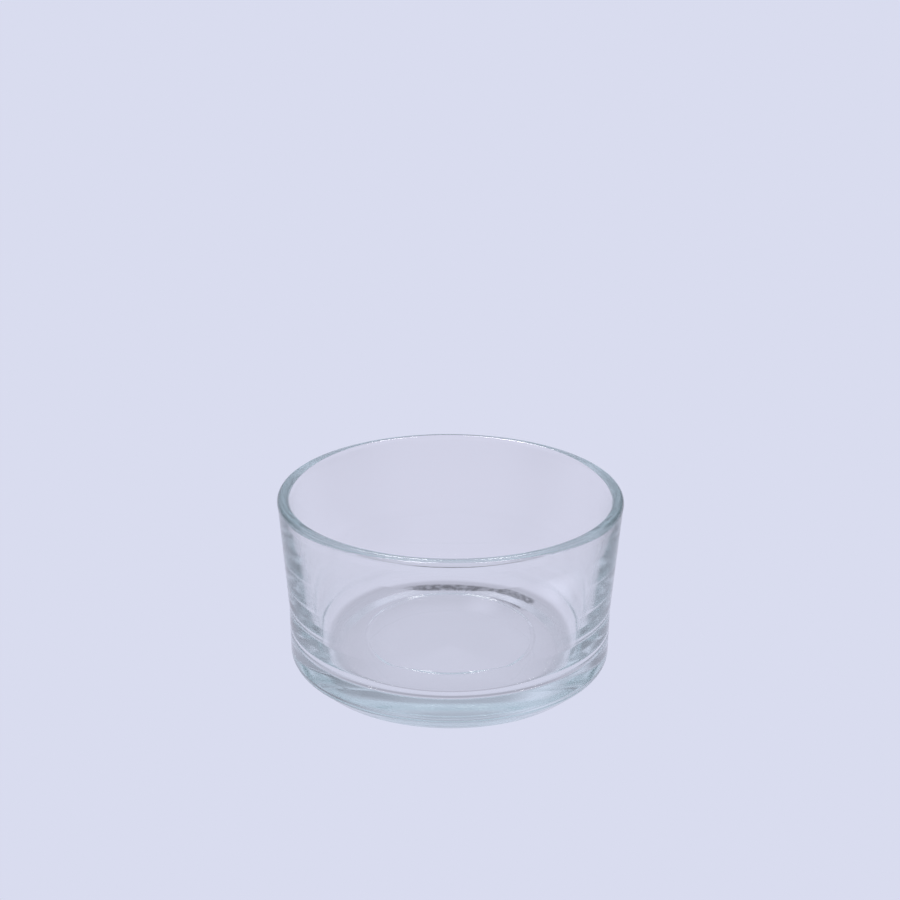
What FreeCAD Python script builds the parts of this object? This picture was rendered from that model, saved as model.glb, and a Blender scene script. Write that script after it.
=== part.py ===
import FreeCAD, Part

import math
import os

# Floating candle bowl: one piece of pressed clear glass, turned about the Z axis.
# Lengths are in millimetres and angles in degrees. The origin is the centre of the
# foot's underside, on the surface that the bowl stands on, with +Z up.

# Whole bowl
bowl_height = 66.1
rim_radius = 60.0

# Rounded rim, with a slight bead outside that ends in a neck below it
rim_wall = 3.9
rim_rounding = 1.9
bead_drop = 2.2
bead_rounding = 2.0
neck_drop = 4.6
neck_inset = 0.3
neck_rounding = 3.0

# Outside of the wall: a steep lower band below a flaring upper one
waist_radius = 56.5
waist_height = 25.5
waist_rounding = 8.0
side_base_radius = 56.1
side_base_height = 9.5

# Heel and foot
heel_slope = 40.0
heel_rounding = 5.5
foot_radius = 48.5
foot_edge_rounding = 0.5
foot_bevel_height = 0.8
foot_bevel_run = 1.0
foot_bevel_rounding = 0.3

# Hollow of the underside, which leaves a flat ring to stand on
recess_radius = 38.5
recess_depth = 0.8
recess_run = 4.5
recess_rounding = 1.5

# Inside of the wall, slightly bowed outwards
inner_upper_radius = 54.4
inner_upper_height = 54.0
inner_lower_radius = 51.3
inner_lower_height = 34.0
inner_rounding = 20.0

# Thick floor, its fillet to the wall and the plunger's ring mark
floor_height = 10.2
floor_radius = 47.3
inner_fillet = 8.0
mark_radius = 30.4
mark_depth = 0.4
mark_half_width = 1.0
mark_rounding = 1.2

# A rounding leaves at least a little of the straights beside it
rounding_share = 0.98


def point(radius, height):
    """Point of the half section, in the XZ plane."""
    return FreeCAD.Vector(radius, 0, height)


def heel_corner():
    """Where the heel's slope, drawn on from the foot's bevel, meets the lower wall."""
    side_lean = (waist_radius - side_base_radius) / (waist_height - side_base_height)
    slope = math.tan(math.radians(heel_slope))
    bevel_radius = foot_radius + foot_bevel_run
    side_radius = side_base_radius + (foot_bevel_height - side_base_height) * side_lean
    run = (side_radius - bevel_radius) / (1 - slope * side_lean)
    return point(bevel_radius + run, foot_bevel_height + run * slope)


def neck_point():
    """Narrowest place under the rim's bead."""
    return point(rim_radius - neck_inset, bowl_height - neck_drop)


def outside_corners():
    """Corners of the outside, from the centre of the underside to the rim."""
    return [
        (point(0, recess_depth), 0),
        (point(recess_radius, recess_depth), recess_rounding),
        (point(recess_radius + recess_run, 0), recess_rounding),
        (point(foot_radius, 0), foot_edge_rounding),
        (point(foot_radius + foot_bevel_run, foot_bevel_height), foot_bevel_rounding),
        (heel_corner(), heel_rounding),
        (point(waist_radius, waist_height), waist_rounding),
        (neck_point(), neck_rounding),
        (point(rim_radius, bowl_height - bead_drop), bead_rounding),
        (point(rim_radius, bowl_height), rim_rounding),
    ]


def inside_corners():
    """Corners of the inside, from the rim to the centre of the floor."""
    return [
        (point(rim_radius - rim_wall, bowl_height), rim_rounding),
        (point(inner_upper_radius, inner_upper_height), inner_rounding),
        (point(inner_lower_radius, inner_lower_height), inner_rounding),
        (point(floor_radius, floor_height), inner_fillet),
        (point(mark_radius + mark_half_width, floor_height), mark_rounding),
        (point(mark_radius, floor_height - mark_depth), mark_rounding),
        (point(mark_radius - mark_half_width, floor_height), mark_rounding),
        (point(0, floor_height), 0),
    ]


def rounded(before, corner, after, rounding):
    """Start, middle and end of the tangent arc that rounds one corner."""
    back = before - corner
    ahead = after - corner
    half_angle = back.getAngle(ahead) / 2
    room = min(back.Length, ahead.Length) * rounding_share
    setback = min(rounding / math.tan(half_angle), room)
    radius = setback * math.tan(half_angle)
    back.normalize()
    ahead.normalize()
    bisector = back + ahead
    bisector.normalize()
    middle = corner + bisector * (radius / math.sin(half_angle) - radius)
    return corner + back * setback, middle, corner + ahead * setback


def section_edges(corners):
    """Straight runs and tangent arcs through the corners, closed along the axis."""
    edges = []
    last = corners[0][0]
    for index in range(1, len(corners) - 1):
        before = corners[index - 1][0]
        corner, rounding = corners[index]
        after = corners[index + 1][0]
        start, middle, end = rounded(before, corner, after, rounding)
        edges.append(Part.LineSegment(last, start).toShape())
        edges.append(Part.Arc(start, middle, end).toShape())
        last = end
    edges.append(Part.LineSegment(last, corners[-1][0]).toShape())
    edges.append(Part.LineSegment(corners[-1][0], corners[0][0]).toShape())
    return edges


def glass_bowl():
    """The whole bowl as one solid of revolution."""
    edges = section_edges(outside_corners() + inside_corners())
    section = Part.Face(Part.Wire(edges))
    full_turn = 360
    axis_point = FreeCAD.Vector(0, 0, 0)
    axis_direction = FreeCAD.Vector(0, 0, 1)
    return section.revolve(axis_point, axis_direction, full_turn)


def main():
    os.makedirs("parts", exist_ok=True)
    bowl = glass_bowl()
    bowl.exportStep("parts/glass_bowl.step")
    box = bowl.optimalBoundingBox(False)
    print("glass_bowl", bowl.ShapeType, "valid", bowl.isValid(), "closed", bowl.isClosed())
    print("size", round(box.XLength, 3), round(box.YLength, 3), round(box.ZLength, 3))
    print("volume in cubic millimetres", round(bowl.Volume, 1))


main()
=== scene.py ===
import math

import bmesh
import bpy
from mathutils import Euler, Matrix, Vector, noise


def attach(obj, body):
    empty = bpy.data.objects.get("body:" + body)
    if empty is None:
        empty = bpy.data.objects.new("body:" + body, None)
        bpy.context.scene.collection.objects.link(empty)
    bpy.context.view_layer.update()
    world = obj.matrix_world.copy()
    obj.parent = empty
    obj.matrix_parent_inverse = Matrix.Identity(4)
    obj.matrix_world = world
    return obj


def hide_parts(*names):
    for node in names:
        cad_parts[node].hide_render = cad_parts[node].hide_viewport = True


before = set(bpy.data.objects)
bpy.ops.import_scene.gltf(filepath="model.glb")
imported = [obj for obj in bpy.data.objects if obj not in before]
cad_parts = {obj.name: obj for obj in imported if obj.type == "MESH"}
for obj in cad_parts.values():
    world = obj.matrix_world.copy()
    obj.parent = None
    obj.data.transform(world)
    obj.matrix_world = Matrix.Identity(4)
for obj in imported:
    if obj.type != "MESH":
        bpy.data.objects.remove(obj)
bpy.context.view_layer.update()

# Floating candle bowl of clear pressed glass, turned about the Z axis. The bowl's own
# sizes are in millimetres, as in the part's source; everything placed in Blender is in
# metres.
MM = 0.001

# Whole bowl
BOWL_HEIGHT = 66.1
RIM_RADIUS = 60.0

# Rounded rim, with a slight bead outside that ends in a neck below it
RIM_WALL = 3.9
RIM_ROUNDING = 1.9
BEAD_DROP = 2.2
BEAD_ROUNDING = 2.0
NECK_DROP = 4.6
NECK_INSET = 0.3
NECK_ROUNDING = 3.0

# Outside of the wall: a steep lower band below a flaring upper one
WAIST_RADIUS = 56.5
WAIST_HEIGHT = 25.5
WAIST_ROUNDING = 8.0
SIDE_BASE_RADIUS = 56.1
SIDE_BASE_HEIGHT = 9.5

# Heel and foot
HEEL_SLOPE = 40.0
HEEL_ROUNDING = 5.5
FOOT_RADIUS = 48.5
FOOT_EDGE_ROUNDING = 0.5
FOOT_BEVEL_HEIGHT = 0.8
FOOT_BEVEL_RUN = 1.0
FOOT_BEVEL_ROUNDING = 0.3

# Hollow of the underside
RECESS_RADIUS = 38.5
RECESS_DEPTH = 0.8
RECESS_RUN = 4.5
RECESS_ROUNDING = 1.5

# Inside: slightly bowed wall, thick floor, fillet between them and the plunger's ring mark
INNER_UPPER_RADIUS = 54.4
INNER_UPPER_HEIGHT = 54.0
INNER_LOWER_RADIUS = 51.3
INNER_LOWER_HEIGHT = 34.0
INNER_ROUNDING = 20.0
FLOOR_HEIGHT = 10.2
FLOOR_RADIUS = 47.3
INNER_FILLET = 8.0
MARK_RADIUS = 30.4
MARK_DEPTH = 0.4
MARK_HALF_WIDTH = 1.0
MARK_ROUNDING = 1.2

# A rounding leaves at least a little of the straights beside it
ROUNDING_SHARE = 0.98

# Mesh of the glass
TURN_STEPS = 512
LONGEST_STEP = 1.2
ARC_STEPS = 20
ON_AXIS = 1e-6

# Depths of the slow waves in the fire-polished surfaces
OUTER_WAVE = 0.035
INNER_WAVE = 0.05
FLOOR_WAVE = 0.035

# Form of the waves: a mean depth, slow and fine swings about it, and more on the right
WAVE_LENGTH = 24.0
WAVE_UPRIGHT_SHARE = 0.6
INSIDE_OFFSET = 11.0
WAVE_MEAN = 0.55
SLOW_SWING = 0.5
FINE_SWING = 0.06
FINE_SCALE = 2.3
SIDE_MEAN = 0.62
SIDE_SWING = 0.52

# Where the waves fade, as heights, heights above the bowl's floor and a radius
RIM_CALM = (56.0, 62.0)
RIM_CALM_SHARE = 0.8
FOOT_CALM = (2.0, 9.0)
FLOOR_BLEND = (0.5, 6.0)
CENTRE_CALM = (0.0, 12.0)

# Glass, a little soft, as the streaks in the photograph are
GLASS_ROUGHNESS = 0.042
GLASS_IOR = 1.52
GLASS_TINT = (0.46, 0.86, 0.83, 1)
GLASS_TINT_DENSITY = 2.6

# Photograph, taken from an assumed distance
PHOTO_SIDE = 900
CAMERA_DISTANCE = 800.0
CAMERA_AIM_HEIGHT = 30.0
CAMERA_ELEVATION = 24.21
CAMERA_PITCH = 3.477
CAMERA_ROLL = 0.341
CAMERA_YAW = 0.0227
CAMERA_FOCAL_PIXELS = 2268.4
CAMERA_NEAR = 0.01
SENSOR_WIDTH = 36.0

# Linear colour of the pale floor and backdrop, in the picture and as the glass shows it
PALE = (0.694, 0.716, 0.863)
SEEN_PALE = (0.706, 0.712, 0.868)

# Studio seen in the glass, as shares of the pale colour: the level by height, and soft
# patches of (azimuth from behind the bowl, elevation, full within, gone beyond, share),
# with angles in degrees and a share below zero for a dark patch
STUDIO_HEIGHTS = ((0.0, 0.24), (0.28, 0.30), (0.5, 0.55), (0.7, 0.74), (1.0, 0.92))
STUDIO_PATCHES = (
    (180.0, 14.0, 20.0, 42.0, 0.62),
    (352.0, 3.0, 14.0, 34.0, 0.34),
    (20.0, 24.0, 6.0, 16.0, 0.34),
    (345.0, 55.0, 4.0, 14.0, -0.12),
    (325.0, 20.0, 8.0, 24.0, 0.42),
    (290.0, 24.0, 6.0, 16.0, -0.10),
    (108.0, 18.0, 10.0, 22.0, -0.14),
    (240.0, 46.0, 12.0, 27.0, 0.18),
    (110.0, 48.0, 12.0, 27.0, 0.16),
)

# Soft boxes, as (name, width, height, place, power)
SOFT_BOXES = (
    ("soft_box_back_left", 0.38, 0.38, (-0.26, 0.755, 1.4), 4.0),
    ("soft_box_back_right", 0.22, 0.25, (0.24, 0.755, 1.4), 1.4),
)
LIGHT_BOUNCES = 24

# Sheet under the bowl
SHEET_SIZE = 8.0
SHEET_GAP = 0.0002
SHEET_LEVEL = 0.93

# Shades on the sheet that the glass shows, each as (start, end, level up to the start,
# level from the end on), over the radius or over the share of it that points back
FAR_SHADE = (0.08, 0.20, 0.0, 0.72)
FAR_SHADE_BACK = (-0.9, -0.2, 0.3, 1.0)
FAR_SHADE_LIT = (-0.1, 0.85, 1.0, 0.0)
OUTER_SHADE = (0.055, 0.080, 0.02, 0.0)
UNDER_SHADE = (0.020, 0.046, 0.075, 0.24)
UNDER_SHADE_EDGE = (0.0485, 0.0540, 1.0, 0.0)
UNDER_SHADE_BACK = (-0.9, -0.3, 0.5, 1.0)
CONTACT_START = (0.0395, 0.0420, 0.0, 0.24)
CONTACT_END = (0.0455, 0.0475, 1.0, 0.0)
CONTACT_FRONT = (-0.80, -0.35, 1.0, 0.0)

# How far back the foot's shade falls, and the side on which the sheet stays light far out
SHADE_BACK = 0.004
LIT_SIDE = (-0.22, 0.975, 0.0)

# Light that the glass gathers on the sheet, as (x, y, radius, share)
GLEAMS = (
    (0.050, 0.046, 0.016, 0.20),
    (0.013, 0.031, 0.010, 0.13),
)

# Painted shadow on the sheet under the back of the foot, seen as a dark crescent through
# the front wall: its two arcs, then its ends in degrees from straight back
CRESCENT_INNER = 0.0430
CRESCENT_INNER_CENTRE = (-0.006, 0.0)
CRESCENT_OUTER = 0.0497
CRESCENT_OUTER_CENTRE = (-0.0015, -0.0008)
CRESCENT_SOFTNESS = 0.0008
CRESCENT_LEFT = -21.0
CRESCENT_RIGHT = 46.0

# Ragged ends and grainy breakup of the crescent of painted shadow, with angles in radians
END_OUTWARD = 0.05
END_INWARD = 0.09
GRAIN_SCALE = 420.0
GRAIN_DETAIL = 2.0
GRAIN_WANDER = (0.3, 0.7, -0.07, 0.07)
GRAIN_SHADOW_BREAKUP = (0.42, 0.66, 0.97, 0.45)
RIGHT_FADE = (0.1, 0.6, 1.0, 0.85)


def heel_corner():
    """Where the heel's slope, drawn on from the foot's bevel, meets the lower wall."""
    side_lean = (WAIST_RADIUS - SIDE_BASE_RADIUS) / (WAIST_HEIGHT - SIDE_BASE_HEIGHT)
    slope = math.tan(math.radians(HEEL_SLOPE))
    bevel_radius = FOOT_RADIUS + FOOT_BEVEL_RUN
    side_radius = SIDE_BASE_RADIUS + (FOOT_BEVEL_HEIGHT - SIDE_BASE_HEIGHT) * side_lean
    run = (side_radius - bevel_radius) / (1 - slope * side_lean)
    return bevel_radius + run, FOOT_BEVEL_HEIGHT + run * slope


def section_corners():
    """Corners (radius, height, rounding) of the glass, from the underside's centre,
    over the rim, to the centre of the floor."""
    heel_radius, heel_height = heel_corner()
    mark_bottom = FLOOR_HEIGHT - MARK_DEPTH
    return [
        (0.0, RECESS_DEPTH, 0.0),
        (RECESS_RADIUS, RECESS_DEPTH, RECESS_ROUNDING),
        (RECESS_RADIUS + RECESS_RUN, 0.0, RECESS_ROUNDING),
        (FOOT_RADIUS, 0.0, FOOT_EDGE_ROUNDING),
        (FOOT_RADIUS + FOOT_BEVEL_RUN, FOOT_BEVEL_HEIGHT, FOOT_BEVEL_ROUNDING),
        (heel_radius, heel_height, HEEL_ROUNDING),
        (WAIST_RADIUS, WAIST_HEIGHT, WAIST_ROUNDING),
        (RIM_RADIUS - NECK_INSET, BOWL_HEIGHT - NECK_DROP, NECK_ROUNDING),
        (RIM_RADIUS, BOWL_HEIGHT - BEAD_DROP, BEAD_ROUNDING),
        (RIM_RADIUS, BOWL_HEIGHT, RIM_ROUNDING),
        (RIM_RADIUS - RIM_WALL, BOWL_HEIGHT, RIM_ROUNDING),
        (INNER_UPPER_RADIUS, INNER_UPPER_HEIGHT, INNER_ROUNDING),
        (INNER_LOWER_RADIUS, INNER_LOWER_HEIGHT, INNER_ROUNDING),
        (FLOOR_RADIUS, FLOOR_HEIGHT, INNER_FILLET),
        (MARK_RADIUS + MARK_HALF_WIDTH, FLOOR_HEIGHT, MARK_ROUNDING),
        (MARK_RADIUS, mark_bottom, MARK_ROUNDING),
        (MARK_RADIUS - MARK_HALF_WIDTH, FLOOR_HEIGHT, MARK_ROUNDING),
        (0.0, FLOOR_HEIGHT, 0.0),
    ]


def rounded_corner(before, corner, after, rounding):
    """Points of the tangent arc that rounds one corner."""
    back = before - corner
    ahead = after - corner
    half_angle = back.angle(ahead) / 2
    room = min(back.length, ahead.length) * ROUNDING_SHARE
    setback = min(rounding / math.tan(half_angle), room)
    radius = setback * math.tan(half_angle)
    bisector = (back.normalized() + ahead.normalized()).normalized()
    centre = corner + bisector * (radius / math.sin(half_angle))
    first = corner + back.normalized() * setback - centre
    last = corner + ahead.normalized() * setback - centre
    turn = first.angle_signed(last)
    points = []
    for step in range(ARC_STEPS + 1):
        angle = turn * step / ARC_STEPS
        cos, sin = math.cos(angle), math.sin(angle)
        spoke = Vector((first.x * cos + first.y * sin, first.y * cos - first.x * sin))
        points.append(centre + spoke)
    return points


def section_line():
    """The half section as (radius, height) points, close enough for a smooth surface."""
    corners = section_corners()
    places = [Vector(corner[:2]) for corner in corners]
    line = [places[0]]
    for index in range(1, len(corners) - 1):
        before, corner, after = places[index - 1:index + 2]
        line += rounded_corner(before, corner, after, corners[index][2])
    line.append(places[-1])
    close = [line[0]]
    for start, end in zip(line, line[1:]):
        pieces = max(1, math.ceil((end - start).length / LONGEST_STEP))
        for piece in range(1, pieces + 1):
            close.append(start.lerp(end, piece / pieces))
    return close


def smooth_share(value, start, end):
    """0 up to the start, 1 from the end on, and a smooth rise between them."""
    share = min(1.0, max(0.0, (value - start) / (end - start)))
    return share * share * (3.0 - 2.0 * share)


def wave_depth(radius, height, angle, inside):
    """Depth of the surface's slow waves, deeper on the right than on the left."""
    where = Vector((radius * math.cos(angle), radius * math.sin(angle), height)) / WAVE_LENGTH
    where.z = where.z * WAVE_UPRIGHT_SHARE + (INSIDE_OFFSET if inside else 0.0)
    depth = WAVE_MEAN + SLOW_SWING * noise.noise(where) + FINE_SWING * noise.noise(where * FINE_SCALE)
    uneven = SIDE_MEAN + SIDE_SWING * math.cos(angle)
    rim_calm = 1.0 - RIM_CALM_SHARE * smooth_share(height, *RIM_CALM)
    if not inside:
        return OUTER_WAVE * uneven * depth * smooth_share(height, *FOOT_CALM) * rim_calm
    blend_start, blend_end = FLOOR_BLEND
    on_floor = 1.0 - smooth_share(height, FLOOR_HEIGHT + blend_start, FLOOR_HEIGHT + blend_end)
    return (INNER_WAVE + (FLOOR_WAVE - INNER_WAVE) * on_floor) * uneven * depth * rim_calm


def waved_ring(line, index, inside):
    """Places (x, y, z) around one point of the half section, pressed in by the waves."""
    radius, height = line[index]
    along = (line[index + 1] - line[index - 1]).normalized()
    inward = Vector((-along.y, along.x))
    places = []
    for step in range(TURN_STEPS):
        angle = 2 * math.pi * step / TURN_STEPS
        depth = wave_depth(radius, height, angle, inside) * smooth_share(radius, *CENTRE_CALM)
        out = radius + inward.x * depth
        up = height + inward.y * depth
        places.append((out * math.cos(angle) * MM, out * math.sin(angle) * MM, up * MM))
    return places


def turned_glass(name, line):
    """A closed mesh turned about Z from a half section that starts and ends on the axis."""
    mesh = bmesh.new()
    top = max(range(len(line)), key=lambda index: line[index].y)
    rings = []
    for index, (radius, height) in enumerate(line):
        if radius < ON_AXIS:
            places = [(0.0, 0.0, height * MM)]
        else:
            places = waved_ring(line, index, index > top)
        rings.append([mesh.verts.new(place) for place in places])
    for lower, upper in zip(rings, rings[1:]):
        for step in range(TURN_STEPS):
            following = (step + 1) % TURN_STEPS
            if len(lower) == 1:
                mesh.faces.new((lower[0], upper[following], upper[step]))
            elif len(upper) == 1:
                mesh.faces.new((lower[step], lower[following], upper[0]))
            else:
                mesh.faces.new((lower[step], lower[following], upper[following], upper[step]))
    bmesh.ops.recalc_face_normals(mesh, faces=mesh.faces)
    data = bpy.data.meshes.new(name)
    mesh.to_mesh(data)
    mesh.free()
    data.shade_smooth()
    return linked_object(name, data)


def flat_sheet(name, size, place, material):
    """A level square sheet."""
    half = size / 2
    corners = [(-half, -half, 0), (half, -half, 0), (half, half, 0), (-half, half, 0)]
    data = bpy.data.meshes.new(name)
    data.from_pydata(corners, [], [(0, 1, 2, 3)])
    data.materials.append(material)
    sheet = linked_object(name, data)
    sheet.location = place
    return sheet


def linked_object(name, data):
    """An object with this data, in the scene."""
    linked = bpy.data.objects.new(name, data)
    bpy.context.scene.collection.objects.link(linked)
    return linked


def share_node(tree, value, start, end, low, high):
    """Smooth change of a value from one level to another."""
    share = tree.nodes.new("ShaderNodeMapRange")
    share.interpolation_type = "SMOOTHSTEP"
    share.inputs["From Min"].default_value = start
    share.inputs["From Max"].default_value = end
    share.inputs["To Min"].default_value = low
    share.inputs["To Max"].default_value = high
    tree.links.new(value, share.inputs["Value"])
    return share.outputs[0]


def math_node(tree, operation, first, second):
    """Two values put together by one operation."""
    both = tree.nodes.new("ShaderNodeMath")
    both.operation = operation
    for socket, value in zip(both.inputs, (first, second)):
        if isinstance(value, float):
            socket.default_value = value
        else:
            tree.links.new(value, socket)
    return both.outputs[0]


def chain_node(tree, operation, values):
    """Several values put together one after another by the same operation."""
    result = values[0]
    for value in values[1:]:
        result = math_node(tree, operation, result, value)
    return result


def vector_node(tree, operation, value, other):
    """One number from a place or direction and a fixed vector."""
    vector = tree.nodes.new("ShaderNodeVectorMath")
    vector.operation = operation
    tree.links.new(value, vector.inputs[0])
    vector.inputs[1].default_value = other
    return vector.outputs["Value"]


def distance_node(tree, place, x, y):
    """Distance on the sheet from one of its points."""
    return vector_node(tree, "DISTANCE", place, (x, y, 0.0))


def pale_node(tree, share, camera_ray):
    """Plain pale for camera rays, and a share of its strength for the others."""
    colour = tree.nodes.new("ShaderNodeVectorMath")
    colour.operation = "SCALE"
    colour.inputs[0].default_value = SEEN_PALE
    tree.links.new(share, colour.inputs["Scale"])
    # Inputs 4 and 5 and output 1 are the mix's sockets for vectors
    either = tree.nodes.new("ShaderNodeMix")
    either.data_type = "VECTOR"
    tree.links.new(camera_ray, either.inputs["Factor"])
    tree.links.new(colour.outputs[0], either.inputs[4])
    either.inputs[5].default_value = PALE
    return either.outputs[1]


def glass_material():
    """Clear soda-lime glass with the faint blue-green of its thick parts."""
    material = bpy.data.materials.new("clear_glass")
    material.use_nodes = True
    tree = material.node_tree
    shader = tree.nodes["Principled BSDF"]
    shader.inputs["Base Color"].default_value = (1, 1, 1, 1)
    shader.inputs["Roughness"].default_value = GLASS_ROUGHNESS
    shader.inputs["IOR"].default_value = GLASS_IOR
    shader.inputs["Transmission Weight"].default_value = 1.0
    tint = tree.nodes.new("ShaderNodeVolumeAbsorption")
    tint.inputs["Color"].default_value = GLASS_TINT
    tint.inputs["Density"].default_value = GLASS_TINT_DENSITY
    tree.links.new(tint.outputs[0], tree.nodes["Material Output"].inputs["Volume"])
    return material


def crescent_clear(tree, place, split):
    """Near 0 in the crescent of painted shadow under the back of the foot, 1 elsewhere, with
    ragged ends."""
    radius = distance_node(tree, place, *CRESCENT_INNER_CENTRE)
    inner_start = CRESCENT_INNER - CRESCENT_SOFTNESS
    inner_end = CRESCENT_INNER + CRESCENT_SOFTNESS
    inner_edge = share_node(tree, radius, inner_start, inner_end, 0.0, 1.0)
    radius = distance_node(tree, place, *CRESCENT_OUTER_CENTRE)
    outer_start = CRESCENT_OUTER - CRESCENT_SOFTNESS
    outer_end = CRESCENT_OUTER + CRESCENT_SOFTNESS
    outer_edge = share_node(tree, radius, outer_start, outer_end, 1.0, 0.0)
    grain = tree.nodes.new("ShaderNodeTexNoise")
    grain.inputs["Scale"].default_value = GRAIN_SCALE
    grain.inputs["Detail"].default_value = GRAIN_DETAIL
    tree.links.new(place, grain.inputs["Vector"])
    # Grain that breaks up the painted shadow
    shadow_breakup = share_node(tree, grain.outputs[0], *GRAIN_SHADOW_BREAKUP)
    wander = share_node(tree, grain.outputs[0], *GRAIN_WANDER)
    azimuth = math_node(tree, "ARCTAN2", split.outputs["X"], split.outputs["Y"])
    azimuth = math_node(tree, "ADD", azimuth, wander)
    left, right = math.radians(CRESCENT_LEFT), math.radians(CRESCENT_RIGHT)
    left_end = share_node(tree, azimuth, left - END_OUTWARD, left + END_INWARD, 0.0, 1.0)
    right_end = share_node(tree, azimuth, right - END_INWARD, right + END_OUTWARD, 1.0, 0.0)
    fade = share_node(tree, azimuth, *RIGHT_FADE)
    factors = [inner_edge, outer_edge, left_end, right_end, shadow_breakup, fade]
    dark = chain_node(tree, "MULTIPLY", factors)
    return math_node(tree, "SUBTRACT", 1.0, dark)


def sheet_level(tree, place):
    """Level of the sheet as the glass shows it: painted shade under the foot, where the foot
    rests and far out on one side, painted gleams of light, and the painted shadow crescent."""
    radius = distance_node(tree, place, 0.0, 0.0)
    foot_radius = distance_node(tree, place, 0.0, SHADE_BACK)
    split = tree.nodes.new("ShaderNodeSeparateXYZ")
    tree.links.new(place, split.inputs[0])
    back = math_node(tree, "DIVIDE", split.outputs["Y"], radius)
    lit_side = math_node(tree, "DIVIDE", vector_node(tree, "DOT_PRODUCT", place, LIT_SIDE), radius)
    far = chain_node(tree, "MULTIPLY", [
        share_node(tree, lit_side, *FAR_SHADE_LIT),
        share_node(tree, back, *FAR_SHADE_BACK),
        share_node(tree, radius, *FAR_SHADE),
    ])
    under = chain_node(tree, "MULTIPLY", [
        share_node(tree, foot_radius, *UNDER_SHADE),
        share_node(tree, foot_radius, *UNDER_SHADE_EDGE),
        share_node(tree, back, *UNDER_SHADE_BACK),
    ])
    outer = share_node(tree, foot_radius, *OUTER_SHADE)
    contact = chain_node(tree, "MULTIPLY", [
        share_node(tree, radius, *CONTACT_START),
        share_node(tree, radius, *CONTACT_END),
        share_node(tree, back, *CONTACT_FRONT),
    ])
    # Painted shade: far out, under the foot, around it and where it rests
    shade = chain_node(tree, "ADD", [far, under, outer, contact])
    level = math_node(tree, "SUBTRACT", SHEET_LEVEL, shade)
    for x, y, reach, share in GLEAMS:
        gleam = share_node(tree, distance_node(tree, place, x, y), 0.0, reach, share, 0.0)
        level = math_node(tree, "ADD", level, gleam)
    return math_node(tree, "MULTIPLY", level, crescent_clear(tree, place, split))


def sheet_material():
    """Pale sheet: exactly pale in the picture, with painted shade and painted gleams of light
    where the glass shows it, and a plain diffuse surface for all other light."""
    material = bpy.data.materials.new("floor")
    material.use_nodes = True
    tree = material.node_tree
    tree.nodes.remove(tree.nodes["Principled BSDF"])
    place = tree.nodes.new("ShaderNodeTexCoord").outputs["Object"]
    rays = tree.nodes.new("ShaderNodeLightPath").outputs
    plain = tree.nodes.new("ShaderNodeEmission")
    colour = pale_node(tree, sheet_level(tree, place), rays["Is Camera Ray"])
    tree.links.new(colour, plain.inputs["Color"])
    lit = tree.nodes.new("ShaderNodeBsdfDiffuse")
    lit.inputs["Color"].default_value = (*PALE, 1)
    seeing_rays = [rays["Is Camera Ray"], rays["Is Glossy Ray"], rays["Is Transmission Ray"]]
    mix = tree.nodes.new("ShaderNodeMixShader")
    tree.links.new(chain_node(tree, "MAXIMUM", seeing_rays), mix.inputs[0])
    tree.links.new(lit.outputs[0], mix.inputs[1])
    tree.links.new(plain.outputs[0], mix.inputs[2])
    tree.links.new(mix.outputs[0], tree.nodes["Material Output"].inputs["Surface"])
    return material


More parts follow.
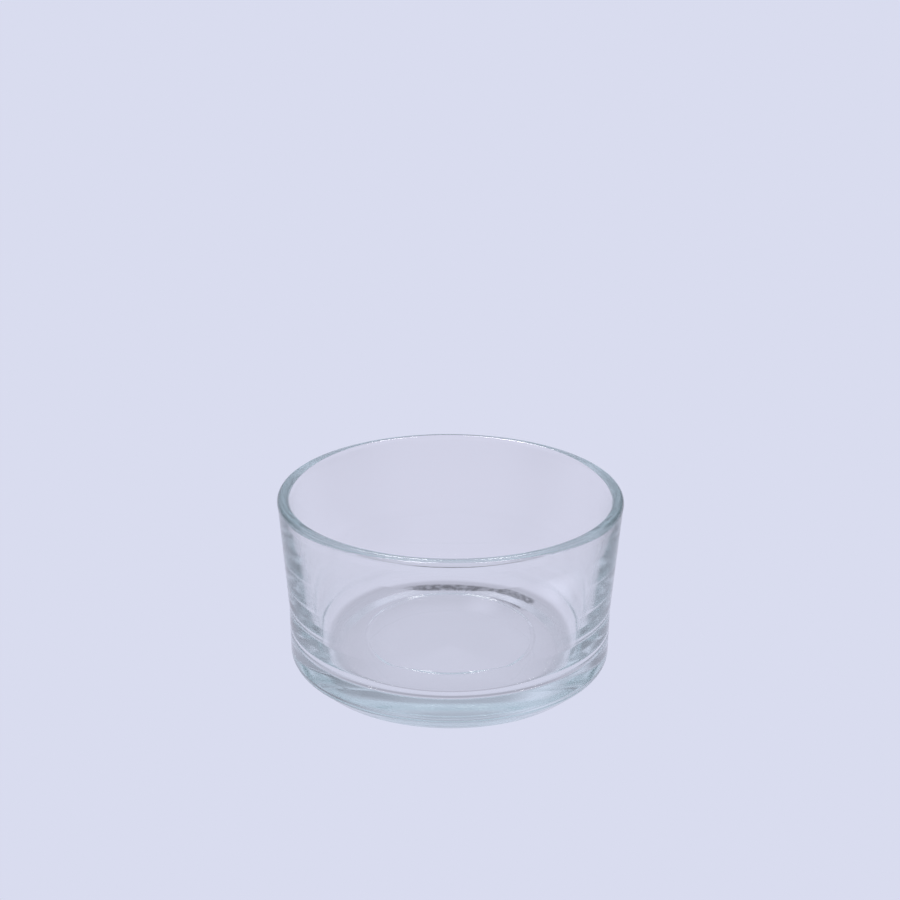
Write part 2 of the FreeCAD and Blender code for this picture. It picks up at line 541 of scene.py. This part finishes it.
def studio_world():
    """Pale surroundings by height, with soft patches, and plain pale behind everything."""
    world = bpy.data.worlds.new("studio")
    bpy.context.scene.world = world
    world.use_nodes = True
    tree = world.node_tree
    direction = tree.nodes.new("ShaderNodeTexCoord").outputs["Generated"]
    split = tree.nodes.new("ShaderNodeSeparateXYZ")
    tree.links.new(direction, split.inputs[0])
    height = split.outputs["Z"]
    (start, low), (end, high) = STUDIO_HEIGHTS[:2]
    levels = [share_node(tree, height, start, end, low, high)]
    for (start, low), (end, high) in zip(STUDIO_HEIGHTS[1:], STUDIO_HEIGHTS[2:]):
        levels.append(share_node(tree, height, start, end, 0.0, high - low))
    for azimuth, elevation, inner, outer, share in STUDIO_PATCHES:
        around, up = math.radians(azimuth), math.radians(elevation)
        across = math.cos(up)
        middle = (math.sin(around) * across, math.cos(around) * across, math.sin(up))
        nearness = vector_node(tree, "DOT_PRODUCT", direction, middle)
        edge, core = math.cos(math.radians(outer)), math.cos(math.radians(inner))
        levels.append(share_node(tree, nearness, edge, core, 0.0, share))
    camera_ray = tree.nodes.new("ShaderNodeLightPath").outputs["Is Camera Ray"]
    colour = pale_node(tree, chain_node(tree, "ADD", levels), camera_ray)
    tree.links.new(colour, tree.nodes["Background"].inputs["Color"])


def soft_box(name, width, height, place, power):
    """A soft box that faces the bowl and shows only as highlights on its surface."""
    data = bpy.data.lights.new(name, "AREA")
    data.shape = "RECTANGLE"
    data.size, data.size_y = width, height
    data.energy = power
    box = linked_object(name, data)
    box.location = place
    box.rotation_euler = (-Vector(place)).to_track_quat("-Z", "Y").to_euler()
    box.visible_transmission = False


def photo_camera():
    """The camera at the photograph's angle."""
    data = bpy.data.cameras.new("camera")
    data.sensor_width = SENSOR_WIDTH
    data.lens = CAMERA_FOCAL_PIXELS / PHOTO_SIDE * SENSOR_WIDTH
    data.clip_start = CAMERA_NEAR
    camera = linked_object("camera", data)
    elevation = math.radians(CAMERA_ELEVATION)
    camera.location = (
        0.0,
        -CAMERA_DISTANCE * math.cos(elevation) * MM,
        (CAMERA_AIM_HEIGHT + CAMERA_DISTANCE * math.sin(elevation)) * MM,
    )
    tilt = math.pi / 2 - elevation + math.radians(CAMERA_PITCH)
    aim = Euler((tilt, 0.0, math.radians(CAMERA_YAW))).to_matrix()
    roll = Matrix.Rotation(math.radians(CAMERA_ROLL), 3, "Z")
    camera.rotation_euler = (aim @ roll).to_euler()
    bpy.context.scene.camera = camera


bowl = turned_glass("bowl", section_line())
bowl.data.materials.append(glass_material())
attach(bowl, "root")
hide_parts("glass_bowl")

flat_sheet("floor", SHEET_SIZE, (0.0, 0.0, -SHEET_GAP), sheet_material())
studio_world()
for soft_box_values in SOFT_BOXES:
    soft_box(*soft_box_values)

scene = bpy.context.scene
scene.view_settings.view_transform = "Standard"
scene.cycles.max_bounces = LIGHT_BOUNCES
scene.cycles.transmission_bounces = LIGHT_BOUNCES
scene.cycles.glossy_bounces = LIGHT_BOUNCES
photo_camera()
